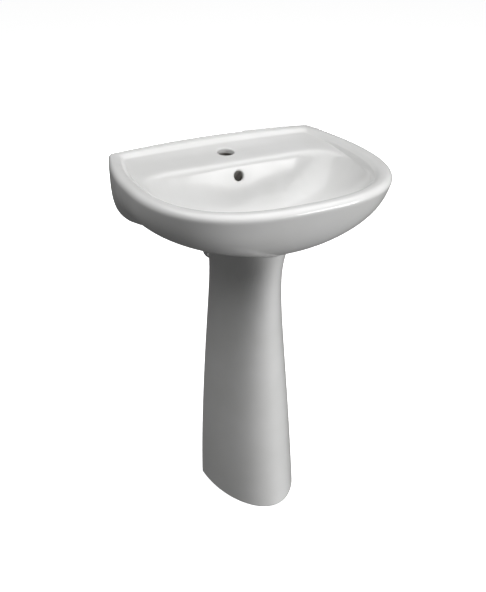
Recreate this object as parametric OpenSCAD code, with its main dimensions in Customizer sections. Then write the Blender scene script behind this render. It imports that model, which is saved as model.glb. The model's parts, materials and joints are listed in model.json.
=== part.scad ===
// Pedestal sink: a vitreous china basin on a hollow china pedestal, with a
// push-to-close basin waste, a bottle trap and a pipe back to the wall.
// Millimetres. The origin is on the floor under the middle of the basin's box;
// the wall is behind (+Y), the front of the basin faces -Y, +Z is up.
// Lengths inside the modules are measured from the wall plane: y = 0 at the
// wall and negative towards the front.

/* [Overall] */
// Basin width across the rim
basin_w = 560; // [470:5:680]
// Basin depth, wall to front rim
basin_d = 470; // [425:5:570]
// Height of the rim above the floor
rim_h = 850; // [700:5:1020]

/* [Basin] */
// Basin width where it meets the wall
back_w = 494; // [400:2:500]
// Depth of the basin below its rim, down to its foot
basin_deep = 158; // [150:1:190]
// Part of that depth taken by the belly under the bowl
belly = 50; // [40:1:58]
// Distance from the wall to the widest part of the rim
widest_y = 182; // [150:2:200]
// Squareness of the rim's front curve
plan_pow = 2.65; // [2:0.05:3.2]
// Radius of the roll on the outside of the rim
rim_r = 13; // [8:0.5:15]
// Width of the rim, outside to its inner edge
rim_wide = 26; // [22:0.5:32]
// Rise of the back rim at its middle
crown_h = 10; // [0:0.5:14]
// Wall thickness of the china skin
skin_t = 8; // [7:0.5:9]
// Thickness of the bowl
bowl_t = 8; // [7:0.5:8.5]
// Width of the flat foot that stands on the pedestal
foot_wide = 24; // [20:1:30]

/* [Tap deck] */
// Step from the back rim down to the tap deck
deck_drop = 8.5; // [5:0.5:11]
// Fall of the tap deck towards the bowl
deck_fall = 7.5; // [4:0.5:9]
// Distance from the wall to the front of the tap deck
crest_y = 134; // [128:2:146]
// Distance from the wall to the middle of the tap hole
tap_y = 73; // [64:1:84]
// Tap hole diameter
tap_d = 38; // [32:0.5:38]

/* [Bowl] */
// Distance from the wall to the middle of the waste
waste_y = 240; // [228:1:246]
// Depth of the bowl below the rim at the waste
bowl_deep = 124; // [116:1:125]
// Roundness of the bowl section, higher is flatter in the bottom
bowl_pow = 2.8; // [2.2:0.1:3.4]
// Overflow hole diameter
overflow_d = 24; // [18:1:26]
// Depth of the overflow below the rim
overflow_drop = 45; // [42:1:56]

/* [Wall fixing] */
// Spacing of the two wall bolt holes
bolt_span = 280; // [220:5:300]
// Height of the bolt holes below the rim
bolt_drop = 75; // [65:1:95]
// Bolt hole diameter
bolt_d = 14; // [10:1:16]

/* [Pedestal] */
// Pedestal width at the floor
ped_base_w = 229; // [200:2:270]
// Pedestal depth at the floor
ped_base_d = 204; // [185:2:240]
// Pedestal width at the top
ped_top_w = 182; // [170:2:200]
// Pedestal depth at the top
ped_top_d = 188; // [176:2:200]
// Distance from the wall to the open back of the pedestal
ped_y = 132; // [120:2:140]
// Flare of the sides under the basin
flare_w = 29; // [10:1:32]
// Flare of the front under the basin
flare_d = 52; // [30:1:60]
// Roundness of the pedestal plan
ped_pow = 1.92; // [1.8:0.02:2.4]
// Wall thickness of the pedestal
ped_t = 12; // [10:0.5:14]
// Floor screw hole diameter
screw_d = 8; // [6:0.5:10]
// Thickness of the strip between pedestal and basin
seal_t = 3; // [2:0.5:5]

/* [Waste and trap] */
// Outside diameter of the waste tail
tail_d = 41; // [38:0.5:42]
// Length of the waste tail below its flange
tail_len = 76; // [68:1:84]
// Flange diameter of the waste
flange_d = 63; // [60:0.5:64]
// Lift of the plug when the waste is open
plug_lift = 9; // [6:0.5:10]
// Diameter of the bottle
bottle_d = 66; // [60:1:70]
// Outside diameter of the waste pipe
pipe_d = 32; // [30:0.5:34]
// Height of the waste pipe below the basin foot
pipe_drop = 112; // [106:1:120]

/* [Fits] */
// Clearance between threaded or sliding round parts
fit_gap = 0.3; // [0.2:0.05:0.5]
// Clearance round the waste tail in its hole
hole_gap = 2; // [1:0.25:3]

/* [Hidden] */
half_w = basin_w / 2;
half_back = back_w / 2;
foot_z = rim_h - basin_deep;
skirt = basin_deep - belly;
skirt_back = basin_deep + 10;
ped_h = foot_z - seal_t;
foot_half = ped_top_w / 2 + 10;
bowl_z = rim_h - bowl_deep;
recess_r = flange_d / 2 + 1.5;
recess_z = bowl_z - 5;
flange_z = recess_z + 1.5;
tail_r = tail_d / 2;
boss_z = foot_z + 1;
tail_z = flange_z - tail_len;
cap_z = flange_z + 3.4;
pipe_z = foot_z - pipe_drop;
dip_r = tail_r - 4.5;
head_h = pipe_d + 14;
head_z = pipe_z - pipe_d / 2 - 16;
out_y = bottle_d / 2 + 7;
plug_seal_t = 1.6;
stem_len = 45;
cup_h = 74;
cup_low = (head_z - cup_h + 12) / ped_h;
cup_high = (head_z + 12) / ped_h;
bottle_room = bottle_d / 2 + 2;
ped_more = max(0, max([
  for (t = [cup_low, (cup_low + cup_high) / 2, cup_high], a = [15:15:90])
  room_d(bottle_room * cos(a), waste_y - ped_y + bottle_room * sin(a), ped_w(t) - ped_t) + ped_t - ped_shape(t)
]));foot_front = ped_y + ped_top_d + ped_more + 7;

foot_lift = 6;
skin_n = 12;
side_n = 15;
corner_n = 4;
over_y = crest_y + 9;
$fn = 64;

// ---------------------------------------------------------------- outlines
function up0(b, e) = b <= 0 ? 0 : pow(b, e);

// Half width of an outline at distance y: a parabola from the wall to the
// widest line, then a superellipse to the front.
function side_x(y, a, ab, yw, yf) =
  y > yw ? a - (a - ab) * pow((y - yw) / yw, 2)
         : a * up0(1 - up0((yw - y) / (yw - yf), plan_pow), 1 / plan_pow);

function half_ring(a, ab, yw, yf, yb, rc) =
  let (y1 = yb - rc)
  let (p1 = [side_x(yb, a, ab, yw, yf), yb])
  let (p0 = [p1[0] - rc, yb])
  let (p2 = [side_x(y1, a, ab, yw, yf), y1])
  concat(
    [[0, yb], [p0[0] / 2, yb]],
    [for (i = [0:corner_n - 1]) let (t = i / (corner_n - 1))
      (1 - t) * (1 - t) * p0 + 2 * t * (1 - t) * p1 + t * t * p2],
    [for (i = [1:side_n]) let (y = y1 + (yf - y1) * pow(sin(90 * i / side_n), 2 / plan_pow))
      [i < side_n ? side_x(y, a, ab, yw, yf) : 0, y]]
  );

// Whole outline, clockwise from the middle of the back.
function ring(a, ab, yw, yf, yb, rc) =
  let (h = half_ring(a, ab, yw, yf, yb, rc))
  concat(h, [for (i = [len(h) - 2:-1:1]) [-h[i][0], h[i][1]]]);

function crown(p) =
  crown_h * max(0, 1 - pow(p[0] / half_back, 2)) * max(0, 1 + p[1] / 60);

function ease(t) = let (c = min(1, max(0, t))) c * c * (3 - 2 * c);

// ---------------------------------------------------------------- basin rings
// Outer skin, k = 1 just under the rim roll to skin_n at the foot; "in" makes
// the inside face of the same skin.
function skin_r(k) = 1 - pow(1 - k / skin_n, 2.6);

function skin_ring(k, inside) =
  let (r = skin_r(k))
  let (sx = up0(1 - pow(r, 3.2), 1 / 2.3))
  let (sy = up0(1 - pow(r, 0.9), 1 / 4))
  let (sb = up0(1 - pow(r, 7.5), 1 / 1.6))
  let (t = inside ? skin_t + (foot_wide - skin_t) * pow(r, 8) : 0)
  let (yb = inside ? -skin_t - 4 * pow(r, 8) : 0)
  let (o = ring(foot_half + (half_w - foot_half) * sx - t,
                foot_half - 10 + (half_back - foot_half + 10) * sb - t,
                -36 - (widest_y - 36) * sy,
                -foot_front - (basin_d - foot_front) * sy + t,
                yb, 8))
  let (lift = inside && k < skin_n ? foot_lift * pow(r, 4) : 0)
  [for (p = o)
    let (hz = skirt + (skirt_back - skirt) * ease(1 + p[1] / 190))
    let (z = rim_h - rim_r - r * (hz - rim_r) - belly * pow(1 - sy, 1.5))
    [p[0], p[1], max(z, foot_z + 0.6 * (skin_n - k)) + lift]];

// Quarter roll on the outside of the rim.
function roll_ring(q) =
  let (o = rim_r * (1 - cos(q)))
  [for (p = ring(half_w - o, half_back - 0.3 * o, -widest_y, -basin_d + o, -0.5 * o, 8))
    [p[0], p[1], rim_h - rim_r + rim_r * sin(q) + crown(p)]];

// Ring set in by o from the rim (ob at the wall end) with its back edge at yb;
// zs is its drop at the sides and front, zb its drop along the back edge.
function inset_ring(o, ob, yb, rc, zs, zb, arch) =
  [for (p = ring(half_w - o, half_back - ob, -widest_y, -basin_d + o, -yb, rc))
    [p[0], p[1], rim_h - zb - (zs - zb) * ease((-yb - p[1]) / (rc + 40)) + arch * crown(p)]];

deck_zc = deck_drop + deck_fall;
crest = inset_ring(rim_wide + 16, rim_wide + 16, crest_y, 85, 22, deck_zc + 1.5, 0);

// Bowl, s = 1 at the crest to 0 at the waste; t is the depth under the glaze.
function bowl_ring(s, t) =
  [for (p = crest)
    let (v = [p[0], p[1] + waste_y])
    let (m = norm(v))
    let (u = v / m)
    let (run = m - recess_r - 1)
    let (deep = p[2] - bowl_z)
    let (a = atan(bowl_pow * up0(s, bowl_pow - 1) * deep / run))
    let (d = recess_r + 1 + run * s + t * sin(a))
    [u[0] * d, u[1] * d - waste_y, bowl_z + deep * up0(s, bowl_pow) - t * cos(a)]];

// ---------------------------------------------------------------- lofts
// Closed solid through equal rings; each end is closed with a fan.
function middle(r) = [for (j = [0:2]) [for (p = r) p[j]] * [for (p = r) 1] / len(r)];

module loft(rings) {
  n = len(rings[0]);
  m = len(rings);
  pts = concat([for (r = rings) each r], [middle(rings[0]), middle(rings[m - 1])]);
  walls = [for (j = [0:m - 2]) for (i = [0:n - 1])
    let (a = j * n + i)
    let (b = j * n + (i + 1) % n)
    each [[a, a + n, b + n], [a, b + n, b]]];
  first = [for (i = [0:n - 1]) [n * m, i, (i + 1) % n]];
  last = [for (i = [0:n - 1]) [n * m + 1, (m - 1) * n + (i + 1) % n, (m - 1) * n + i]];
  polyhedron(points = pts, faces = concat(first, walls, last), convexity = 8);
}

// Solid between two open curves, outside and inside, stacked in levels.
module band(outer, inner) {
  m = len(outer);
  n = len(outer[0]);
  w = 2 * n;
  pts = [for (j = [0:m - 1]) each concat(outer[j], [for (i = [n - 1:-1:0]) inner[j][i]])];
  walls = [for (j = [0:m - 2]) for (i = [0:w - 1])
    let (a = j * w + i)
    let (b = j * w + (i + 1) % w)
    each [[a, b + w, a + w], [a, b, b + w]]];
  lids = [for (i = [0:n - 2]) each [
    [i, w - 2 - i, i + 1], [i, w - 1 - i, w - 2 - i],
    [(m - 1) * w + i + 1, (m - 1) * w + w - 1 - i, (m - 1) * w + i],
    [(m - 1) * w + i + 1, (m - 1) * w + w - 2 - i, (m - 1) * w + w - 1 - i]]];
  polyhedron(points = pts, faces = concat(walls, lids), convexity = 8);
}

// ---------------------------------------------------------------- small shapes
module at_wall() {
  translate([0, basin_d / 2, 0]) children();
}

module at_waste(z) {
  translate([0, basin_d / 2 - waste_y, z]) children();
}

// Tube along +Z.
module tube(r1, r2, h) {
  difference() {
    cylinder(r = r1, h = h);
    translate([0, 0, -1]) cylinder(r = r2, h = h + 2);
  }
}

// Six-sided nut with a round bore and a turned lower edge.
module hex_nut(across, h, bore) {
  difference() {
    intersection() {
      cylinder(d = across / cos(30), h = h, $fn = 6);
      cylinder(r1 = across / 2 + 1, r2 = across / 2 + 1 + h, h = h);
    }
    translate([0, 0, -1]) cylinder(r = bore, h = h + 2);
  }
}

// Round nut with grip ribs.
module grip_nut(r, h, bore) {
  difference() {
    union() {
      cylinder(r = r, h = h);
      for (i = [0:11]) {
        rotate([0, 0, 30 * i]) translate([r - 1, 0, 1.5]) cylinder(r = 2, h = h - 3, $fn = 24);
      }
    }
    translate([0, 0, -1]) cylinder(r = bore, h = h + 2);
  }
}

// ---------------------------------------------------------------- china
module basin_sheet() {
  loft(concat(
    [for (s = [0, 0.2, 0.38, 0.54, 0.68, 0.8, 0.89, 0.96]) bowl_ring(s, 0)],
    [crest],
    [inset_ring(rim_wide + 15, rim_wide + 15, crest_y - 9, 78, 20, deck_zc - 0.6, 0)],
    [inset_ring(rim_wide + 12.5, rim_wide + 12.5, 84, 45, 15, deck_drop + deck_fall / 2, 0)],
    [inset_ring(rim_wide + 9, rim_wide + 9, 35, 12, 9.5, deck_drop, 1)],
    [inset_ring(rim_wide, rim_wide - 2, 23, 10, 2, 0.8, 1)],
    [inset_ring(rim_r + 6, rim_r, 15, 9, 0.2, 0.1, 1)],
    [for (q = [90:-30:0]) roll_ring(q)],
    [for (k = [1:skin_n]) skin_ring(k, false)],
    [for (k = [skin_n, skin_n - 1, 9, 7, 5, 3, 1]) skin_ring(k, true)],
    [inset_ring(rim_wide - 10, rim_wide - 10, 17, 8, 24, 20.5, 0)],
    [inset_ring(rim_wide - 1, rim_wide - 1, 38, 12, 24, 20.5, 0)],
    [inset_ring(rim_wide + 5, rim_wide + 5, 84, 40, 25, 23.5, 0)],
    [inset_ring(rim_wide + 9, rim_wide + 9, crest_y - 7, 78, 27, 27, 0)],
    [for (s = [0.93, 0.8, 0.68, 0.54, 0.38, 0.2, 0]) bowl_ring(s, bowl_t)]
  ));
}

// Hollow web behind the bowl that carries the overflow down to the waste:
// an upright leg behind the overflow and a level leg into the waste hole.
module overflow_web(half, grow) {
  top_z = rim_h - overflow_drop;
  low_z = foot_z + 6;
  back_y = -over_y + 22;
  front_y = -waste_y + 15;
  translate([-half, back_y - 14 - grow, low_z - grow])
    cube([2 * half, 14 + 2 * grow, top_z - low_z + (grow > 0 ? 16 : 0)]);
  translate([-half, front_y, low_z - grow])
    cube([2 * half, back_y - front_y + grow, 10 + 2 * grow]);
}

module basin() {
  over_z = rim_h - overflow_drop;
  color("white") at_wall() difference() {
    union() {
      basin_sheet();
      translate([0, -waste_y, boss_z]) cylinder(r = 40, h = bowl_z - 2 - boss_z);
      overflow_web(19, 5);
      for (x = [-1, 1]) {
        translate([x * bolt_span / 2, -skin_t / 2, rim_h - bolt_drop]) rotate([90, 0, 0]) cylinder(r = 19, h = 11);
      }
    }
    overflow_web(13, 0);
    translate([0, -tap_y, rim_h - 60]) cylinder(r = tap_d / 2, h = 80);
    translate([0, -over_y - 12, over_z + 3]) rotate([-110, 0, 0]) cylinder(r = overflow_d / 2, h = 28);
    translate([0, -waste_y, recess_z]) cylinder(r = recess_r, h = 20);
    translate([0, -waste_y, foot_z - 40]) cylinder(r = tail_r + hole_gap, h = 80);
    for (x = [-1, 1]) {
      translate([x * bolt_span / 2, 5, rim_h - bolt_drop]) rotate([90, 0, 0]) cylinder(d = bolt_d, h = 40);
    }
  }
}

function ped_w(t) =
  ped_base_w / 2 - ((ped_base_w - ped_top_w) / 2 + flare_w) * pow(t, 1.5) + flare_w * pow(t, 16);

function ped_shape(t) =
  ped_base_d - (ped_base_d - ped_top_d + flare_d) * pow(t, 0.82) + flare_d * pow(t, 5.9);

// Depth that a shell of half width w takes to hold the point (x, y).
function room_d(x, y, w) = y / up0(1 - up0(x / w, ped_pow), 1 / ped_pow);

function ped_d(t) = ped_shape(t) + ped_more;

function sgn_pow(v, e) = sign(v) * up0(abs(v), e);

// Open curve from one back edge round the front to the other.
function ped_curve(w, d, z) =
  [for (i = [0:28]) let (a = 180 * i / 28)
    [w * sgn_pow(cos(a), 2 / ped_pow), -ped_y - d * up0(sin(a), 2 / ped_pow), z]];

module pedestal() {
  ts = [for (i = [0:15]) 1 - pow(1 - i / 15, 1.6)];
  color("white") at_wall() difference() {
    union() {
      band(
        [for (t = ts) ped_curve(ped_w(t), ped_d(t), t * ped_h)],
        [for (t = ts) ped_curve(ped_w(t) - ped_t, ped_d(t) - ped_t, t * ped_h)]);
      for (x = [-1, 1]) {
        translate([x * (ped_base_w / 2 - 24) - 15, -ped_y - 48, 0]) cube([30, 34, 14]);
      }
    }
    for (x = [-1, 1]) {
      translate([x * (ped_base_w / 2 - 27), -ped_y - 31, -1]) cylinder(d = screw_d, h = 20);
    }
  }
}

module seat_seal() {
  color("whitesmoke") at_wall() band(
    [for (z = [ped_h, foot_z]) ped_curve(ped_top_w / 2 - 1, ped_top_d + ped_more - 1, z)],
    [for (z = [ped_h, foot_z]) ped_curve(ped_top_w / 2 - ped_t + 1, ped_top_d + ped_more - ped_t + 1, z)]);
}

// ---------------------------------------------------------------- waste
module waste_body() {
  color("silver") at_waste(0) difference() {
    union() {
      translate([0, 0, flange_z]) rotate_extrude() polygon([
        [tail_r - 2.5, -6], [tail_r, -6], [tail_r, 0], [flange_d / 2, 0],
        [flange_d / 2, 1.2], [flange_d / 2 - 1.5, 2.6], [tail_r + 3, 3], [tail_r - 2.5, 1]]);
      translate([0, 0, tail_z]) tube(tail_r, tail_r - 2.5, tail_len - 5);
      translate([0, 0, flange_z - 34]) tube(9, 6 + fit_gap, 6);
      for (i = [0:2]) {
        rotate([0, 0, 90 + 120 * i]) translate([8, -1.5, flange_z - 34]) cube([tail_r - 9, 3, 6]);
      }
    }
    for (i = [0:1]) {
      rotate([0, 0, 180 * i]) translate([-6, 10, flange_z - 17]) cube([12, 14, 10]);
    }
  }
}

module waste_top_washer() {
  color("dimgray") at_waste(recess_z) tube(flange_d / 2 - 1, tail_r + fit_gap, 1.5);
}

module waste_lower_washer() {
  color("dimgray") at_waste(boss_z - 3) tube(33, tail_r + fit_gap, 3);
}

module waste_slip_ring() {
  color("white") at_waste(boss_z - 4.6) tube(33, tail_r + fit_gap, 1.6);
}

module waste_backnut() {
  color("silver") at_waste(boss_z - 15) hex_nut(56, 10.4, tail_r + fit_gap / 2);
}

// The plug is drawn open: raised by plug_lift above its closed seat.
module plug_cap() {
  color("silver") at_waste(cap_z + plug_lift) difference() {
    rotate_extrude() polygon([
      [0, 0], [28, 0], [30, 0.8], [30.5, 2], [29.5, 3.4], [22, 5], [12, 6], [0, 6.4]]);
    translate([0, 0, -1]) cylinder(r = 4 + fit_gap, h = 4);
  }
}

module plug_seal() {
  color("black") at_waste(cap_z + plug_lift - plug_seal_t) tube(tail_r - 0.5, 4 + fit_gap, plug_seal_t);
}

module plug_stem() {
  color("silver") at_waste(cap_z + plug_lift) {
    translate([0, 0, -stem_len]) cylinder(r = 4, h = stem_len + 3);
    translate([0, 0, -plug_seal_t - 2.4]) cylinder(r = 12, h = 2.4);
  }
}

module plug_cartridge() {
  color("whitesmoke") at_waste(flange_z - 54) difference() {
    union() {
      cylinder(r = 6, h = 32);
      translate([0, 0, 14]) cylinder(r = 8.5, h = 6);
    }
    translate([0, 0, 2]) cylinder(r = 4 + fit_gap, h = 40);
  }
}

// Helical spring under the stem.
module plug_spring() {
  turns = 5;
  steps = 14;
  wire = 0.45;
  bot = 2.5;
  tall = cap_z + plug_lift - stem_len - (flange_z - 54) - bot - 0.6;
  color("silver") at_waste(flange_z - 54 + bot) loft([
    for (i = [turns * steps:-1:0])
    let (a = 360 * i / steps)
    let (z = wire + (tall - 2 * wire) * i / (turns * steps))
    [for (j = [0:6]) let (b = 360 * j / 7)
      [(3 + wire * cos(b)) * cos(a), (3 + wire * cos(b)) * sin(a), z + wire * sin(b)]]
  ]);
}

// ---------------------------------------------------------------- trap
module trap_inlet_nut() {
  color("silver") at_waste(tail_z - 10) difference() {
    grip_nut(tail_r + 5.5, 22, dip_r + 3 + fit_gap);
    translate([0, 0, 4]) cylinder(r = tail_r + fit_gap / 2, h = 30);
  }
}

module trap_inlet_washer() {
  color("dimgray") at_waste(tail_z - 3) tube(tail_r, dip_r + fit_gap, 3);
}

module trap_body() {
  color("silver") at_waste(0) difference() {
    union() {
      translate([0, 0, tail_z - 6]) cylinder(r = tail_r - 0.5, h = 3);
      translate([0, 0, head_z + head_h + 4]) cylinder(r = dip_r + 3, h = tail_z - 6 - head_z - head_h - 4);
      translate([0, 0, head_z]) cylinder(r = bottle_d / 2 - 3, h = head_h);
      translate([0, 0, head_z + head_h]) cylinder(r1 = bottle_d / 2 - 3, r2 = dip_r + 4, h = 6);
      translate([0, 0, pipe_z]) rotate([-90, 0, 0]) cylinder(r = pipe_d / 2 + 3, h = out_y + 10);
    }
    translate([0, 0, head_z - 1]) cylinder(r = bottle_d / 2 - 6, h = head_h - 2);
    translate([0, 0, head_z]) cylinder(r = dip_r + fit_gap, h = 200);
    translate([0, 0, pipe_z]) rotate([-90, 0, 0]) cylinder(r = pipe_d / 2 - 2, h = out_y + 20);
    translate([0, out_y - 2, pipe_z]) rotate([-90, 0, 0]) cylinder(r = pipe_d / 2 + fit_gap, h = 20);
  }
}

module trap_dip_tube() {
  color("silver") at_waste(head_z - 44) difference() {
    union() {
      cylinder(r = dip_r, h = tail_z - head_z + 44);
      translate([0, 0, tail_z - head_z + 44]) cylinder(r = tail_r - 3, h = 1);
    }
    translate([0, 0, -1]) cylinder(r = dip_r - 1.5, h = 400);
  }
}

module trap_cup() {
  color("silver") at_waste(head_z - cup_h + 12) rotate_extrude() polygon([
    [0, 0], [bottle_d / 2 - 12, 0], [bottle_d / 2 - 4, 2.5], [bottle_d / 2, 10],
    [bottle_d / 2, cup_h], [bottle_d / 2 - 3 + fit_gap, cup_h],
    [bottle_d / 2 - 3 + fit_gap, cup_h - 12 - 2.5], [bottle_d / 2 - 6, cup_h - 12 - 2.5],
    [bottle_d / 2 - 6, cup_h - 20], [bottle_d / 2 - 2.5, cup_h - 24],
    [bottle_d / 2 - 2.5, 11], [bottle_d / 2 - 6, 5], [bottle_d / 2 - 13, 2.5], [0, 2.5]]);
}

module trap_cup_seal() {
  color("black") at_waste(head_z - 2.5) tube(bottle_d / 2 - 3, bottle_d / 2 - 6, 2.5);
}

module trap_outlet_nut() {
  color("silver") at_waste(pipe_z) rotate([-90, 0, 0]) translate([0, 0, out_y]) difference() {
    grip_nut(pipe_d / 2 + 7, 20, pipe_d / 2 + fit_gap);
    translate([0, 0, -1]) cylinder(r = pipe_d / 2 + 3 + fit_gap / 2, h = 16);
  }
}

module trap_outlet_washer() {
  color("black") at_waste(pipe_z) rotate([-90, 0, 0]) translate([0, 0, out_y + 10]) tube(pipe_d / 2 + 3, pipe_d / 2, 5);
}

module waste_pipe() {
  color("silver") at_waste(pipe_z) rotate([-90, 0, 0]) translate([0, 0, out_y]) tube(pipe_d / 2, pipe_d / 2 - 1.5, waste_y - out_y);
}

module wall_rosette() {
  color("silver") at_waste(pipe_z) rotate([-90, 0, 0]) translate([0, 0, waste_y - 12]) rotate_extrude() polygon([
    [pipe_d / 2 + fit_gap, 0], [pipe_d / 2 + 3, 0], [pipe_d / 2 + 5, 3], [pipe_d / 2 + 14, 8], [pipe_d / 2 + 19, 12],
    [pipe_d / 2 + 16, 12], [pipe_d / 2 + 12, 9.5], [pipe_d / 2 + 2, 5], [pipe_d / 2 + fit_gap, 4]]);
}

// ---------------------------------------------------------------- draw
basin();
pedestal();
seat_seal();
waste_body();
waste_top_washer();
waste_lower_washer();
waste_slip_ring();
waste_backnut();
plug_cap();
plug_seal();
plug_stem();
plug_cartridge();
plug_spring();
trap_inlet_nut();
trap_inlet_washer();
trap_body();
trap_dip_tube();
trap_cup();
trap_cup_seal();
trap_outlet_nut();
trap_outlet_washer();
waste_pipe();
wall_rosette();
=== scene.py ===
import json
import math

import bmesh
import bpy
import numpy as np
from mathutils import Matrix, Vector
from mathutils.bvhtree import BVHTree


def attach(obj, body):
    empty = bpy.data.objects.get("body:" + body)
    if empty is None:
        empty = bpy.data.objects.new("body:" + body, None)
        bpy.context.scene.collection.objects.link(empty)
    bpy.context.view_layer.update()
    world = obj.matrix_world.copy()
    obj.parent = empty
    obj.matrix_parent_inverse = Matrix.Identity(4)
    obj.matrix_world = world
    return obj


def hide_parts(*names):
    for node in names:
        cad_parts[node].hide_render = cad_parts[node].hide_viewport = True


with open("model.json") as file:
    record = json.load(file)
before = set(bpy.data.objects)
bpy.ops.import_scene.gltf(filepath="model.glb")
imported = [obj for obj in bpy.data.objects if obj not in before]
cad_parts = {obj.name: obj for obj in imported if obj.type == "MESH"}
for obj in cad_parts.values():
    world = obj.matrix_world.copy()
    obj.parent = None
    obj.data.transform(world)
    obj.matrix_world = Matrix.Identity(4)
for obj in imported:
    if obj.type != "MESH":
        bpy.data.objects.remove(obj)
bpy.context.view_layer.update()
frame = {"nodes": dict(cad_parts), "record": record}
scene = bpy.context.scene
scene.view_settings.view_transform = "Standard"

# ------------------------------------------------------------------ sizes, millimetres
# Distances called _Y are measured from the wall, and heights called _Z from the floor.
# Basin outline
BASIN_W, BASIN_D, BACK_W, RIM_H, DEEP = 560.0, 470.0, 494.0, 850.0, 158.0
WIDEST, PLAN_POW, CORNER_R = 182.0, 2.65, 8
RIM_R, RIM_WIDE, CROWN, CROWN_RUN = 13.0, 26.0, 10.0, 60
# Skirt: drop of its belly, run of the change from back to front, widest line and eased edge of the foot
BELLY, SKIRT_RUN, FOOT_WIDEST, FOOT_EDGE, SKIN_POW = 50.0, 190, 36, 7.2, 2.6
# How its sides, front and back draw in towards the foot
SIDE_IN, FRONT_IN, BACK_IN = (3.2, 2.3), (0.9, 4), (7.5, 1.6)
# China: walls of skirt and bowl, width and inner lift of the foot
SKIN_T, BOWL_T, FOOT_WIDE, FOOT_LIFT = 8.0, 8.0, 24.0, 6.0
# Tap deck, bowl, overflow, waste seat, wall bolts
DECK_DROP, DECK_FALL, CREST_Y = 8.5, 7.5, 134.0
TAP_Y, TAP_R, TAP_LIP, TAP_LIP_LOW = 73.0, 19.0, 3.5, 1.5
WASTE_Y, BOWL_DEEP, BOWL_POW = 240.0, 124.0, 2.8
OVER_R, OVER_DROP, OVER_LIP, OVER_TILT = 12.0, 45.0, 2.5, 20
FLANGE_R, TAIL_HOLE_R, BOSS_R = 33.0, 22.5, 40.0
BOLT_SPAN, BOLT_DROP, BOLT_R, BOLT_BOSS_R, BOLT_BOSS = 280.0, 75.0, 7.0, 19, 11
# Pedestal, its eased edges and its screw lugs
PED_BASE_W, PED_BASE_D, PED_TOP_W, PED_TOP_D = 229.0, 204.0, 182.0, 188.0
PED_Y, FLARE_W, FLARE_D, PED_POW, PED_T = 132.0, 29.0, 52.0, 1.92, 12.0
PED_FOOT_R, PED_TOP_R, SEAL_T = 3, 2.5, 3.0
LUG_IN, LUG_HALF, LUG_Y, LUG_H, SCREW_IN, SCREW_Y, SCREW_R = 24, 15, (48, 14), 14, 27, 31, 4.0

HALF_W, HALF_BACK = BASIN_W / 2, BACK_W / 2
FOOT_Z = RIM_H - DEEP
SKIRT, SKIRT_BACK = DEEP - BELLY, DEEP + 10
PED_H = FOOT_Z - SEAL_T
FOOT_HALF = PED_TOP_W / 2 + 10
FOOT_FRONT = PED_Y + PED_TOP_D + 7
BOWL_Z = RIM_H - BOWL_DEEP
BOWL_FOOT_R = FLANGE_R + 1
RECESS_Z = BOWL_Z - 5
BOSS_Z = FOOT_Z + 1
DECK_ZC = DECK_DROP + DECK_FALL
OVER_Y = CREST_Y + 9
OVER_AXIS = (0, -math.cos(math.radians(OVER_TILT)), math.sin(math.radians(OVER_TILT)))
OVER_AT = (0, -OVER_Y, RIM_H - OVER_DROP)
# The outlines are drawn with the wall at y = 0; this moves them to the frame's middle.
SHIFT = np.array([0.0, BASIN_D / 2, 0.0])

# Points of the basin's outline: back edge, corner and side of one half. Points of the pedestal's curve and
# of a quarter of its back edge.
N_BACK, N_CORNER, N_SIDE, BACK_SPACING = 56, 9, 44, 1.35
N_ARC, N_EDGE = 97, 4
# How far along a hole's axis the skin is searched, and start and length of the ray that finds it, metres
NEAR_SKIN, RAY_FROM, RAY_LENGTH = 0.02, 0.022, 0.05


def up0(b, e):
    return np.maximum(b, 0.0) ** e


def ease(t):
    c = np.clip(t, 0, 1)
    return c * c * (3 - 2 * c)


# ------------------------------------------------------------------ basin outline
def side_x(y, a, ab, yw, yf):
    """Half width at y: a parabola from the wall to the widest line yw, then a superellipse to the front yf."""
    y = np.asarray(y, float)
    near = a - (a - ab) * ((y - yw) / yw) ** 2
    far = a * up0(1 - up0((yw - y) / (yw - yf), PLAN_POW), 1 / PLAN_POW)
    return np.where(y > yw, near, far)


def ring(a, ab, yw, yf, yb, rc):
    """Outline seen from above, clockwise from the middle of the back."""
    y1 = yb - rc
    p1 = np.array([float(side_x(yb, a, ab, yw, yf)), yb])
    p0 = np.array([p1[0] - rc, yb])
    p2 = np.array([float(side_x(y1, a, ab, yw, yf)), y1])
    back = np.linspace(0, 1, N_BACK, endpoint=False) ** BACK_SPACING
    t = np.linspace(0, 1, N_CORNER)[:, None]
    corner = (1 - t) ** 2 * p0 + 2 * t * (1 - t) * p1 + t * t * p2
    i = np.arange(1, N_SIDE + 1) / N_SIDE
    y = y1 + (yf - y1) * np.sin(np.pi / 2 * i) ** (2 / PLAN_POW)
    x = side_x(y, a, ab, yw, yf)
    x[-1] = 0
    h = np.vstack([np.column_stack([back * p0[0], np.full(N_BACK, yb)]), corner, np.column_stack([x, y])])
    mirror = h[-2:0:-1] * [-1, 1]
    return np.vstack([h, mirror])


def crown(p):
    """Rise of the back rim, highest in its middle."""
    across = np.maximum(0, 1 - (p[:, 0] / HALF_BACK) ** 2)
    return CROWN * across * np.maximum(0, 1 + p[:, 1] / CROWN_RUN)


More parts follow.
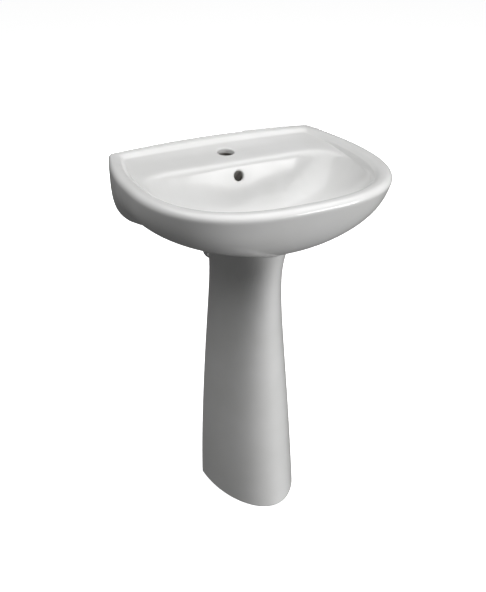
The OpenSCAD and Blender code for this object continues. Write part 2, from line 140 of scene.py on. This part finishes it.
def skin_ring(r, inside):
    """Row of the skirt, from r = 0 under the rim to r = 1 at the foot, on its outer or inner face."""
    sx, sy, sb = (up0(1 - r**p, 1 / q) for p, q in (SIDE_IN, FRONT_IN, BACK_IN))
    t = SKIN_T + (FOOT_WIDE - SKIN_T) * r**8 if inside else 0
    yb = -SKIN_T - 4 * r**8 if inside else 0
    o = ring(
        FOOT_HALF + (HALF_W - FOOT_HALF) * sx - t,
        FOOT_HALF - 10 + (HALF_BACK - FOOT_HALF + 10) * sb - t,
        -FOOT_WIDEST - (WIDEST - FOOT_WIDEST) * sy,
        -FOOT_FRONT - (BASIN_D - FOOT_FRONT) * sy + t,
        yb,
        CORNER_R,
    )
    hz = SKIRT + (SKIRT_BACK - SKIRT) * ease(1 + o[:, 1] / SKIRT_RUN)
    z = RIM_H - RIM_R - r * (hz - RIM_R) - BELLY * (1 - sy) ** 1.5
    lift = FOOT_LIFT * r**4 if inside and r < 1 else 0
    z = np.maximum(z, FOOT_Z + FOOT_EDGE * (1 - r) ** (1 / SKIN_POW)) + lift
    return np.column_stack([o, z])


def roll_ring(q):
    """Row of the rolled rim, q degrees up its quarter circle."""
    q = math.radians(q)
    o = RIM_R * (1 - math.cos(q))
    p = ring(HALF_W - o, HALF_BACK - 0.3 * o, -WIDEST, -BASIN_D + o, -0.5 * o, CORNER_R)
    return np.column_stack([p, RIM_H - RIM_R + RIM_R * math.sin(q) + crown(p)])


def inset_ring(o, ob, yb, rc, zs, zb, arch):
    """Row inside the rim, o in from the side and yb from the wall, zs below the rim in front and zb behind."""
    p = ring(HALF_W - o, HALF_BACK - ob, -WIDEST, -BASIN_D + o, -yb, rc)
    z = RIM_H - zb - (zs - zb) * ease((-yb - p[:, 1]) / (rc + 40)) + arch * crown(p)
    return np.column_stack([p, z])


# The line where deck and rim turn down into the bowl
CREST = inset_ring(RIM_WIDE + 16, RIM_WIDE + 16, CREST_Y, 85, 22, DECK_ZC + 1.5, 0)


def bowl_ring(s, t):
    """Row of the bowl, from s = 0 at the waste to s = 1 at the crest, t below its upper face."""
    v = CREST[:, :2] + [0, WASTE_Y]
    m = np.hypot(v[:, 0], v[:, 1])
    u = v / m[:, None]
    run = m - BOWL_FOOT_R
    deep = CREST[:, 2] - BOWL_Z
    a = np.arctan(BOWL_POW * up0(s, BOWL_POW - 1) * deep / run)
    d = BOWL_FOOT_R + run * s + t * np.sin(a)
    return np.column_stack([u * d[:, None] - [0, WASTE_Y], BOWL_Z + deep * up0(s, BOWL_POW) - t * np.cos(a)])


def disc(r, z):
    """Level circle about the waste, with its points in line with the crest's."""
    v = CREST[:, :2] + [0, WASTE_Y]
    u = v / np.hypot(v[:, 0], v[:, 1])[:, None]
    return np.column_stack([u * r - [0, WASTE_Y], np.full(len(u), z)])


def spline(rows, n):
    """Smooth rows between the given ones: a uniform cubic B-spline that keeps both ends."""
    rows = np.array(rows)
    pad = np.concatenate([[2 * rows[0] - rows[1]], rows, [2 * rows[-1] - rows[-2]]])
    out = []
    for i in range(len(rows) - 1):
        for k in range(n):
            t = k / n
            w = [(1 - t) ** 3, 3 * t**3 - 6 * t * t + 4, -3 * t**3 + 3 * t * t + 3 * t + 1, t**3]
            w = np.array(w) / 6
            out.append(np.tensordot(w, pad[i : i + 4], 1))
    out.append(rows[-1])
    return out


def skin_r(t):
    """Place of a skirt row, closer together towards the foot."""
    return 1 - (1 - t) ** SKIN_POW


# ------------------------------------------------------------------ meshes
def mesh_object(name, verts, faces, mats, index):
    """Smooth object of these faces, each with its place in mats."""
    points = [tuple(v) for v in (np.asarray(verts) + SHIFT) / 1000]
    me = bpy.data.meshes.new(name)
    me.from_pydata(points, [], [tuple(map(int, f)) for f in faces])
    ob = bpy.data.objects.new(name, me)
    scene.collection.objects.link(ob)
    for m in mats:
        me.materials.append(m)
    me.polygons.foreach_set("material_index", np.asarray(index, np.int32))
    me.polygons.foreach_set("use_smooth", np.full(len(me.polygons), True))
    me.update()
    return ob


def loop_loft(rows, close):
    """Quads between closed rows of equal length, and from the last row to the first if close is set."""
    n = len(rows[0])
    m = len(rows)
    faces = []
    for j in range(m if close else m - 1):
        k = (j + 1) % m
        for i in range(n):
            h = (i + 1) % n
            faces.append((j * n + i, j * n + h, k * n + h, k * n + i))
    return np.vstack(rows), faces


def join(obs, name):
    """Joins meshes that already have the same list of materials."""
    bm = bmesh.new()
    for o in obs:
        bm.from_mesh(o.data)
    me = bpy.data.meshes.new(name)
    bm.to_mesh(me)
    bm.free()
    for m in obs[0].data.materials:
        me.materials.append(m)
    for o in obs:
        bpy.data.objects.remove(o)
    ob = bpy.data.objects.new(name, me)
    scene.collection.objects.link(ob)
    return ob


# ------------------------------------------------------------------ materials
class Nodes:
    """One Principled material and its node tree."""

    def __init__(self, name):
        self.m = bpy.data.materials.new(name)
        self.m.use_nodes = True
        self.t = self.m.node_tree
        self.b = self.t.nodes["Principled BSDF"]

    def new(self, kind, values):
        n = self.t.nodes.new(kind)
        for k, v in values.items():
            n.inputs[k].default_value = v
        return n

    def link(self, a, out, b, into):
        self.t.links.new(a.outputs[out], b.inputs[into])

    def set(self, **values):
        for k, v in values.items():
            self.b.inputs[k.replace("_", " ")].default_value = v

    def noise(self, scale, detail=3.0, stretch=(1, 1, 1)):
        c = self.new("ShaderNodeTexCoord", {})
        g = self.new("ShaderNodeMapping", {"Scale": stretch})
        n = self.new("ShaderNodeTexNoise", {"Scale": scale, "Detail": detail})
        self.link(c, "Object", g, "Vector")
        self.link(g, "Vector", n, "Vector")
        return n

    def rough(self, src, lo, hi):
        r = self.new("ShaderNodeMapRange", {"From Min": 0.3, "From Max": 0.7, "To Min": lo, "To Max": hi})
        self.link(src, "Fac", r, "Value")
        self.link(r, "Result", self.b, "Roughness")

    def tint(self, src, dark, light):
        r = self.new("ShaderNodeValToRGB", {})
        for stop, place, colour in zip(r.color_ramp.elements, (0.35, 0.65), (dark, light)):
            stop.position = place
            stop.color = (*colour, 1)
        self.link(src, "Fac", r, "Fac")
        self.link(r, "Color", self.b, "Base Color")

    def bump(self, src, strength, distance, after=None):
        n = self.new("ShaderNodeBump", {"Strength": strength, "Distance": distance})
        self.link(src, "Fac", n, "Height")
        if after is not None:
            self.link(after, "Normal", n, "Normal")
        self.link(n, "Normal", self.b, "Normal")
        return n


def china_glaze():
    """White glaze over vitreous china: a faint change of tone, soft waves and fine orange peel."""
    n = Nodes("china_glaze")
    n.set(IOR=1.52, Specular_IOR_Level=0.5, Coat_Weight=0.25, Coat_Roughness=0.08)
    n.tint(n.noise(9, 2), (0.80, 0.80, 0.79), (0.84, 0.84, 0.835))
    n.rough(n.noise(35, 3), 0.17, 0.26)
    wave = n.bump(n.noise(16, 1.5), 0.10, 0.004)
    n.bump(n.noise(260, 2), 0.05, 0.0006, wave)
    return n.m


def china_raw():
    """Unglazed biscuit on the foot, the wall side and inside the hollow casting."""
    n = Nodes("china_raw")
    n.set(IOR=1.5)
    n.tint(n.noise(120, 6), (0.66, 0.64, 0.60), (0.76, 0.74, 0.70))
    n.rough(n.noise(80, 4), 0.55, 0.8)
    n.bump(n.noise(900, 5), 0.35, 0.0006)
    return n.m


def chrome():
    n = Nodes("chrome_plate")
    n.set(Metallic=1.0)
    n.rough(n.noise(90, 5), 0.05, 0.13)
    n.tint(n.noise(40, 3), (0.77, 0.78, 0.80), (0.83, 0.84, 0.86))
    n.bump(n.noise(700, 3, (1, 1, 0.1)), 0.03, 0.0003)
    return n.m


def brass():
    n = Nodes("turned_brass")
    n.set(Metallic=1.0)
    n.tint(n.noise(60, 5), (0.58, 0.43, 0.20), (0.74, 0.58, 0.30))
    n.rough(n.noise(140, 4), 0.22, 0.42)
    n.bump(n.noise(500, 2, (0.15, 0.15, 4)), 0.25, 0.0004)
    return n.m


def rubber():
    n = Nodes("black_rubber")
    n.set(IOR=1.5, Specular_IOR_Level=0.35)
    n.tint(n.noise(150, 4), (0.018, 0.018, 0.019), (0.045, 0.045, 0.046))
    n.rough(n.noise(90, 3), 0.6, 0.8)
    n.bump(n.noise(1500, 3), 0.3, 0.0003)
    return n.m


def plastic():
    n = Nodes("white_plastic")
    n.set(IOR=1.46)
    n.tint(n.noise(45, 3), (0.78, 0.78, 0.75), (0.85, 0.85, 0.83))
    n.rough(n.noise(200, 3), 0.36, 0.5)
    n.bump(n.noise(1100, 3), 0.15, 0.0003)
    return n.m


def silicone():
    n = Nodes("sealing_strip")
    n.set(IOR=1.41)
    n.tint(n.noise(60, 3), (0.74, 0.74, 0.72), (0.82, 0.82, 0.80))
    n.rough(n.noise(120, 3), 0.4, 0.6)
    n.bump(n.noise(300, 4), 0.3, 0.0006)
    return n.m


def spring_steel():
    n = Nodes("spring_wire")
    n.set(Metallic=1.0)
    n.tint(n.noise(300, 4), (0.42, 0.42, 0.44), (0.60, 0.60, 0.62))
    n.rough(n.noise(200, 3), 0.25, 0.4)
    n.bump(n.noise(2500, 2), 0.2, 0.0001)
    return n.m


GLAZE, RAW = china_glaze(), china_raw()
BOTH = [GLAZE, RAW]
MATS = {
    "china": GLAZE,
    "silicone": silicone(),
    "chrome": chrome(),
    "brass": brass(),
    "rubber": rubber(),
    "white_plastic": plastic(),
    "spring_steel": spring_steel(),
}


# ------------------------------------------------------------------ basin
def basin_rows():
    """Rows of the closed sheet and, for each, 0 for glazed or 1 for raw china."""
    # hole for the waste's tail, seat of its flange
    glazed = [disc(TAIL_HOLE_R, z) for z in (BOSS_Z + 2, RECESS_Z - 8, RECESS_Z - 1.5)]
    glazed += [disc(TAIL_HOLE_R + 1.2, RECESS_Z), disc(28, RECESS_Z), disc(FLANGE_R - 1, RECESS_Z)]
    glazed += [disc(FLANGE_R, RECESS_Z + 1), disc(FLANGE_R, BOWL_Z - 1.6), disc(FLANGE_R + 1.4, BOWL_Z)]
    glazed = spline(glazed, 2)
    # bowl, deck from the crest back, step up to the rim, rolled rim, skirt
    top = [bowl_ring(s, 0) for s in np.linspace(0.05, 0.95, 21)]
    top += [CREST]
    for f in (0.88, 0.76, 0.6, 0.45, 0.3, 0.15, 0.05):
        y = 35 + (CREST_Y - 35) * f
        o = RIM_WIDE + 9 + 7 * f
        top.append(inset_ring(o, o, y, 12 + 73 * f, 9.5 + 12.5 * f**1.1, DECK_DROP + DECK_FALL * f, 1))
    top += [
        inset_ring(RIM_WIDE + 9, RIM_WIDE + 9, 34, 12, 9.2, DECK_DROP, 1),
        inset_ring(RIM_WIDE + 5.5, RIM_WIDE + 5.5, 30, 12, 6.6, 6.2, 1),
        inset_ring(RIM_WIDE + 2, RIM_WIDE + 1, 26, 11, 3.4, 2.6, 1),
        inset_ring(RIM_WIDE - 2, RIM_WIDE - 4, 22, 10, 1.2, 0.6, 1),
        inset_ring(RIM_R + 7, RIM_R + 1, 16, 9, 0.2, 0.1, 1),
    ]
    top += [roll_ring(q) for q in (90, 72, 54, 36, 18, 0)]
    top += [skin_ring(skin_r(t), False) for t in np.linspace(0, 1, 25)[1:-1]]
    outer = spline(glazed[-1:] + top, 3)[1:]
    # foot, then the inside: skirt, underside of the rim and deck, underside of the bowl and boss
    foot = [skin_ring(skin_r(t), False) for t in (0.985, 0.995)] + [skin_ring(1, False), skin_ring(1, True)]
    inner = [skin_ring(skin_r(t), True) for t in (0.97, 0.9, 0.8, 0.7, 0.6, 0.45, 0.3, 0.15, 0.08)]
    roof = [
        inset_ring(RIM_WIDE - 10, RIM_WIDE - 10, 17, 8, 24, 20.5, 0),
        inset_ring(RIM_WIDE - 1, RIM_WIDE - 1, 38, 12, 24, 20.5, 0),
        inset_ring(RIM_WIDE + 5, RIM_WIDE + 5, 84, 40, 25, 23.5, 0),
        inset_ring(RIM_WIDE + 9, RIM_WIDE + 9, CREST_Y - 7, 78, 27, 27, 0),
    ]
    under = [bowl_ring(s, BOWL_T) for s in (0.93, 0.8, 0.68, 0.54, 0.38, 0.2)]
    under += [disc(BOSS_R, BOWL_Z - 9), disc(BOSS_R, BOSS_Z + 1.5)]
    under += [disc(BOSS_R - 1.5, BOSS_Z), disc(TAIL_HOLE_R + 1, BOSS_Z)]
    inside = spline(inner + roof + under, 2)
    rows = glazed + outer + foot + inside
    raw = [0] * (len(glazed) + len(outer) - 2) + [1] * (len(foot) + len(inside) + 2)
    return rows, raw


def axis_frame(axis):
    """The axis and two directions square to it."""
    ax = Vector(axis).normalized()
    side = ax.orthogonal().normalized()
    return ax, side, ax.cross(side)


def open_skin(bm, tree, centre, axis, facing, radius, lip, depth):
    """Opens a round hole in a smooth skin that faces along the axis (1) or against it (-1).

    The skin's cut edge is drawn onto a circle, rolled over by lip and run down the bore by depth.
    Gives back the last ring as (angle, vertex) pairs.
    """
    c = Vector(np.asarray(centre) + SHIFT) / 1000
    ax, side, other = axis_frame(axis)
    out = ax * facing
    radius, lip, depth = radius / 1000, lip / 1000, depth / 1000
    r_out = radius + lip

    def polar(p):
        d = p - c
        return d.dot(side), d.dot(other), d.dot(ax)

    def on_skin(r, t):
        at = c + side * (r * math.cos(t)) + other * (r * math.sin(t))
        hit = tree.ray_cast(at + out * RAY_FROM, -out, RAY_LENGTH)[0]
        return hit if hit is not None else at

    # faces over the hole that look the same way
    gone = []
    for f in bm.faces:
        m = f.calc_center_median()
        if (m - c).length < r_out * 3 and f.normal.dot(out) > 0.3:
            a, b, h = polar(m)
            if math.hypot(a, b) < r_out and abs(h) < NEAR_SKIN:
                gone.append(f)
    mat = gone[0].material_index
    # a dict keeps the order, so that every run walks round the hole the same way
    edge = list(dict.fromkeys(e for f in gone for e in f.edges if any(g not in gone for g in e.link_faces)))
    bmesh.ops.delete(bm, geom=gone, context="FACES")
    nxt = {}
    for e in edge:
        for v in e.verts:
            nxt.setdefault(v, []).append(e.other_vert(v))
    start = next(v for v in bm.verts if v in nxt)
    loop, prev, cur = [start], None, start
    while True:
        step = [v for v in nxt[cur] if v is not prev]
        prev, cur = cur, step[0]
        if cur is start:
            break
        loop.append(cur)
    angle = np.unwrap([math.atan2(*polar(v.co)[1::-1]) for v in loop])
    n = len(loop)
    even = angle[0] + np.sign(angle[-1] - angle[0]) * np.arange(n) * 2 * math.pi / n
    # points more than half way to an even spacing keep the quads round the hole in shape
    angle = 0.4 * angle + 0.6 * (even + (angle - even).mean())
    for v, t in zip(loop, angle):
        v.co = on_skin(r_out, t)
    for q, down in [(q, 0) for q in np.linspace(0, 90, 7)[1:]] + [(90, 1)]:
        q = math.radians(q)
        drop = lip * (1 - math.cos(q)) + depth * down
        ring1 = [bm.verts.new(on_skin(radius + lip * (1 - math.sin(q)), t) - out * drop) for t in angle]
        for i in range(n):
            k = (i + 1) % n
            f = bm.faces.new([loop[i], loop[k], ring1[k], ring1[i]])
            f.material_index = mat
            f.smooth = True
        loop = ring1
    return list(zip(angle % (2 * math.pi), loop))


def zip_rings(bm, a, b, mat):
    """Triangles between two rings of (angle, vertex) pairs around one axis."""
    a, b = sorted(a, key=lambda x: x[0]), sorted(b, key=lambda x: x[0])
    na, nb = len(a), len(b)
    turn = 2 * math.pi
    i = j = 0
    while i < na or j < nb:
        ta = a[(i + 1) % na][0] + turn * ((i + 1) // na)
        tb = b[(j + 1) % nb][0] + turn * ((j + 1) // nb)
        if j >= nb or (i < na and ta <= tb):
            f = bm.faces.new([a[i % na][1], a[(i + 1) % na][1], b[j % nb][1]])
            i += 1
        else:
            f = bm.faces.new([a[i % na][1], b[(j + 1) % nb][1], b[j % nb][1]])
            j += 1
        f.material_index = mat
        f.smooth = True


def through_hole(bm, tree, centre, axis, radius, lip, back_lip, mat=0):
    """Hole with rolled edges through both faces of a wall, with its bore in material mat."""
    front = open_skin(bm, tree, centre, axis, 1, radius, lip, depth=0.6)
    behind = open_skin(bm, tree, centre, axis, -1, radius, back_lip, depth=0.4)
    zip_rings(bm, front, behind, mat)


def eased_block(bm, r):
    """Unglazed object of a closed mesh with its edges rounded by r."""
    if r:
        bmesh.ops.bevel(bm, geom=list(bm.edges), offset=r / 1000, segments=3, affect="EDGES", profile=0.5)
    for f in bm.faces:
        f.material_index = 1
        f.smooth = True
    me = bpy.data.meshes.new("block")
    bm.to_mesh(me)
    bm.free()
    for m in BOTH:
        me.materials.append(m)
    ob = bpy.data.objects.new("block", me)
    scene.collection.objects.link(ob)
    return ob


def slab(profile, half, r):
    """Closed outline in (y, z), drawn out to both sides of x = 0."""
    bm = bmesh.new()
    ends = []
    for x in (-half, half):
        ends.append([bm.verts.new(Vector(np.array([x, y, z]) + SHIFT) / 1000) for y, z in profile])
    n = len(profile)
    bm.faces.new(ends[0])
    bm.faces.new(ends[1][::-1])
    for i in range(n):
        k = (i + 1) % n
        bm.faces.new([ends[0][k], ends[0][i], ends[1][i], ends[1][k]])
    bmesh.ops.recalc_face_normals(bm, faces=bm.faces)
    return eased_block(bm, r)


def rounded_box(lo, hi, r):
    lo, hi = np.array(lo, float), np.array(hi, float)
    bm = bmesh.new()
    bmesh.ops.create_cube(bm, size=1)
    for v in bm.verts:
        v.co = Vector(((lo + hi) / 2 + np.array(v.co) * (hi - lo) + SHIFT) / 1000)
    return eased_block(bm, r)


def pillar(p, q, r, n=48, bore=0.0):
    """Unglazed round post from p to q with eased ends, with a bore where one is asked for."""
    p, q = np.array(p, float), np.array(q, float)
    ax = (q - p) / np.linalg.norm(q - p)
    s = np.cross(ax, [0, 0, 1.0] if abs(ax[2]) < 0.9 else [1.0, 0, 0])
    s /= np.linalg.norm(s)
    t = np.cross(ax, s)
    length = np.linalg.norm(q - p)
    a = np.linspace(0, 2 * np.pi, n, endpoint=False)
    circle = np.cos(a)[:, None] * s + np.sin(a)[:, None] * t
    prof = [(r - 1.2, 0), (r - 0.3, 0.3), (r, 1.2)]
    prof += [(r, length - 1.2), (r - 0.3, length - 0.3), (r - 1.2, length)]
    if bore:
        prof += [(bore + 0.8, length), (bore, length - 0.8), (bore, 0.8), (bore + 0.8, 0)]
    rows = [p + ax * h + circle * rr for rr, h in prof]
    verts, faces = loop_loft(rows, bool(bore))
    if not bore:
        verts = np.vstack([verts, [p, q]])
        k = len(verts) - 2
        last = (len(prof) - 1) * n
        faces += [(k, (i + 1) % n, i) for i in range(n)]
        faces += [(k + 1, last + i, last + (i + 1) % n) for i in range(n)]
    return mesh_object("post", verts, faces, BOTH, [1] * len(faces))


def cut(ob, tool):
    """Takes the tool's shape out of the object, and removes the tool."""
    m = ob.modifiers.new("cut", "BOOLEAN")
    m.operation = "DIFFERENCE"
    m.solver = "EXACT"
    m.object = tool
    bpy.context.view_layer.update()
    me = bpy.data.meshes.new_from_object(ob.evaluated_get(bpy.context.evaluated_depsgraph_get()))
    ob.modifiers.clear()
    old, ob.data = ob.data, me
    bpy.data.meshes.remove(old)
    bpy.data.objects.remove(tool)
    return ob


def overflow_duct():
    """Hollow duct behind the bowl, from the overflow hole down and forward to the waste."""
    top, low, back_y, nose_y = RIM_H - OVER_DROP + 12, FOOT_Z + 1, -OVER_Y + 27, -WASTE_Y + 25
    wall, end_wall, deep, leg = 4.5, 5, 27.5, 20
    front = [(back_y - 18, top), (back_y - 23.5, top - 22)]
    front += [(back_y - deep, top - 37), (back_y - deep, low + leg)]
    outer = front + [(nose_y, low + leg), (nose_y, low), (back_y, low), (back_y, top)]
    inner = [(y + wall, z - (end_wall if i == 0 else 0)) for i, (y, z) in enumerate(front[:3])]
    inner += [(back_y - deep + wall, low + leg - wall), (nose_y + end_wall, low + leg - wall)]
    inner += [(nose_y + end_wall, low + wall), (back_y - wall, low + wall), (back_y - wall, top - end_wall)]
    duct = cut(slab(outer, half=18, r=2.2), slab(inner, half=13, r=0))
    at, ax = np.array(OVER_AT), np.array(OVER_AXIS)
    return cut(duct, pillar(at + ax * 15, at - ax * 13, OVER_R + 0.6))


def build_basin():
    rows, raw = basin_rows()
    verts, faces = loop_loft(rows, True)
    ob = mesh_object("basin_china", verts, faces, BOTH, np.repeat(raw, len(rows[0])))
    bm = bmesh.new()
    bm.from_mesh(ob.data)
    bmesh.ops.recalc_face_normals(bm, faces=bm.faces)
    # the face that stands against the wall is left unglazed
    for f in bm.faces:
        if f.normal.y > 0.95 and f.calc_center_median().y > BASIN_D / 2000 - 0.0008:
            f.material_index = 1
    tree = BVHTree.FromBMesh(bm)
    through_hole(bm, tree, (0, -TAP_Y, RIM_H - DECK_DROP - 8), (0, 0, 1), TAP_R, TAP_LIP, TAP_LIP_LOW)
    through_hole(bm, tree, OVER_AT, OVER_AXIS, OVER_R - 0.5, OVER_LIP, 1.0)
    bosses = []
    mid = -SKIN_T / 2
    for x in (-BOLT_SPAN / 2, BOLT_SPAN / 2):
        z = RIM_H - BOLT_DROP
        through_hole(bm, tree, (x, mid, z), (0, 1, 0), BOLT_R, 1.0, 0.5, 1)
        bosses.append(pillar((x, mid, z), (x, mid - BOLT_BOSS, z), BOLT_BOSS_R, bore=BOLT_R + 0.2))
    bmesh.ops.recalc_face_normals(bm, faces=bm.faces)
    bm.to_mesh(ob.data)
    bm.free()
    return join([ob, overflow_duct()] + bosses, "basin_china")


# ------------------------------------------------------------------ pedestal
def ped_w(t):
    """Half width of the pedestal, from t = 0 at the floor to t = 1 under the basin."""
    return PED_BASE_W / 2 - ((PED_BASE_W - PED_TOP_W) / 2 + FLARE_W) * t**1.5 + FLARE_W * t**16


def ped_d(t):
    """Depth of the pedestal, from its open back to its front."""
    return PED_BASE_D - (PED_BASE_D - PED_TOP_D + FLARE_D) * t**0.82 + FLARE_D * t**5.9


def ped_section(w, d, z, t, r):
    """Closed section of the open-backed shell, its two back edges rounded by r."""
    a = np.linspace(0, np.pi, N_ARC)
    c, s = np.cos(a), np.sin(a)
    e = 2 / PED_POW

    def curve(w, d, y0):
        return np.column_stack([w * np.sign(c) * np.abs(c) ** e, -PED_Y - y0 - (d - y0) * s**e])

    def corner(x, way, turn):
        return [(x + way * r * (1 - math.cos(k)), -PED_Y - r * (1 - math.sin(k))) for k in turn]

    q = np.linspace(0, np.pi / 2, N_EDGE + 1)[1:]
    left = corner(-w, 1, q) + corner(-w + t, -1, q[::-1])
    right = corner(w - t, 1, q) + corner(w, -1, q[::-1])
    loop = np.vstack([curve(w, d, r), left, curve(w - t, d - t, r)[::-1], right])
    return np.column_stack([loop, np.full(len(loop), z)])


def ped_rows():
    zs = [0.0, 0.35, 1.2, 3.0, 6.0] + list(PED_H * (1 - (1 - np.linspace(0.02, 1, 56)) ** 1.5))
    zs[-1] = PED_H - PED_TOP_R
    zs += [PED_H - 0.8, PED_H]
    rows = []
    for z in zs:
        t = z / PED_H
        e = 0
        if z < PED_FOOT_R:
            e = PED_FOOT_R - math.sqrt(max(0, PED_FOOT_R**2 - (PED_FOOT_R - z) ** 2))
        if z > PED_H - PED_TOP_R:
            k = z - (PED_H - PED_TOP_R)
            e = PED_TOP_R - math.sqrt(max(0, PED_TOP_R**2 - k * k))
        thick = PED_T - 2 * e
        rows.append(ped_section(ped_w(t) - e, ped_d(t) - e, z, thick, 3.0 if thick > 7 else 2.2))
    return rows


def build_pedestal():
    rows = ped_rows()
    verts, faces = loop_loft(rows, False)
    n = len(rows[0])
    # the inner curve is unglazed, and so are the two level ends
    edge = 2 * N_EDGE
    index = [1 if N_ARC + edge <= i % n < n - edge else 0 for i in range(len(faces))]
    last = (len(rows) - 1) * n
    faces += [tuple(range(n))[::-1], tuple(range(last, last + n))]
    index += [1, 1]
    ob = mesh_object("pedestal_china", verts, faces, BOTH, index)
    bm = bmesh.new()
    bm.from_mesh(ob.data)
    lids = [f for f in bm.faces if len(f.verts) > 4]
    bmesh.ops.triangulate(bm, faces=lids)
    bmesh.ops.recalc_face_normals(bm, faces=bm.faces)
    for f in bm.faces:
        f.smooth = abs(f.normal.z) < 0.9
    bm.to_mesh(ob.data)
    bm.free()
    lugs = []
    for x in (-1, 1):
        cx = x * (PED_BASE_W / 2 - LUG_IN)
        front, behind = -PED_Y - LUG_Y[0], -PED_Y - LUG_Y[1]
        lug = rounded_box((cx - LUG_HALF, front, 0), (cx + LUG_HALF, behind, LUG_H), 2)
        hx, hy = x * (PED_BASE_W / 2 - SCREW_IN), -PED_Y - SCREW_Y
        lugs.append(cut(lug, pillar((hx, hy, -4), (hx, hy, 20), SCREW_R, n=32)))
    return join([ob] + lugs, "pedestal_china")


# ------------------------------------------------------------------ the china takes the place of its CAD nodes
basin = build_basin()
pedestal = build_pedestal()
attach(basin, "sink")
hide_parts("basin")
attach(pedestal, "sink")
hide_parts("pedestal")

# ------------------------------------------------------------------ the other CAD nodes keep their shape
slots = {s["node"]: s["material_slot"] for s in frame["record"]["subparts"]}
for name, ob in frame["nodes"].items():
    if name in ("basin", "pedestal"):
        continue
    ob.data.materials.clear()
    ob.data.materials.append(MATS[slots[name]])


# ------------------------------------------------------------------ backdrop, light, camera
def backdrop():
    """Pale studio floor that curves up into a dome. It shows behind the object and adds no light to it."""
    turns, flat, cove, top = 64, 12.0, 10, 47
    prof = [(0.4, 0), (2, 0), (5, 0), (flat, 0)]
    prof += [(flat + cove * math.sin(q), cove * (1 - math.cos(q))) for q in np.linspace(0.15, math.pi / 2, 12)]
    prof += [(22, 25), (16, 38), (8, 45)]
    around = np.arange(turns) * 2 * math.pi / turns
    rows = [np.column_stack([r * np.cos(around), r * np.sin(around), np.full(turns, z)]) for r, z in prof]
    verts, faces = loop_loft(rows, False)
    verts = [tuple(v) for v in verts] + [(0, 0, 0), (0, 0, top)]
    last = (len(prof) - 1) * turns
    faces += [(len(verts) - 2, (i + 1) % turns, i) for i in range(turns)]
    faces += [(len(verts) - 1, last + i, last + (i + 1) % turns) for i in range(turns)]
    me = bpy.data.meshes.new("backdrop")
    me.from_pydata(verts, [], faces)
    ob = bpy.data.objects.new("backdrop", me)
    ob.location.z = -0.0005
    scene.collection.objects.link(ob)
    n = Nodes("studio_white")
    n.set(Base_Color=(0.9, 0.9, 0.9, 1), Roughness=0.9, Specular_IOR_Level=0.0)
    n.set(Emission_Color=(1, 1, 1, 1), Emission_Strength=0.88)
    me.materials.append(n.m)
    ob.visible_diffuse = False
    ob.visible_glossy = False
    ob.visible_shadow = False


backdrop()


def area(name, at, size, power, aim):
    """Soft white rectangular light, size in metres and power in watts."""
    d = bpy.data.lights.new(name, "AREA")
    d.shape = "RECTANGLE"
    d.size, d.size_y = size
    d.energy = power
    o = bpy.data.objects.new(name, d)
    o.location = at
    o.rotation_euler = (Vector(aim) - Vector(at)).to_track_quat("-Z", "Y").to_euler()
    scene.collection.objects.link(o)


area("top", (-0.2, -0.5, 3.2), (4.4, 4.0), 93, (0, 0, 0.6))
area("key", (1.9, -2.6, 0.9), (1.8, 1.6), 66, (0, 0, 0.5))
area("rear", (1.2, 2.9, 0.35), (1.8, 0.7), 44, (0, 0, 0.45))
world = bpy.data.worlds.new("world")
world.use_nodes = True
sky = world.node_tree.nodes["Background"].inputs
sky["Color"].default_value = (1, 1, 1, 1)
sky["Strength"].default_value = 0.09
scene.world = world

# The photograph's viewing angle: from the left, looking down
AZ, EL, DIST, AIM = math.radians(-26.539), math.radians(31.4475), 1.850, (0, 0.010, 0.430)
back = Vector((math.sin(AZ) * math.cos(EL), -math.cos(AZ) * math.cos(EL), math.sin(EL)))
cam = bpy.data.objects.new("camera", bpy.data.cameras.new("camera"))
cam.location = Vector(AIM) + back * DIST
cam.rotation_mode = "QUATERNION"
cam.rotation_quaternion = (-back).to_track_quat("-Z", "Y")
cam.data.lens = 47.79
cam.data.sensor_width = 36
cam.data.shift_x = -0.0221
cam.data.shift_y = 0.0740
cam.data.clip_end = 200
scene.collection.objects.link(cam)
scene.camera = cam
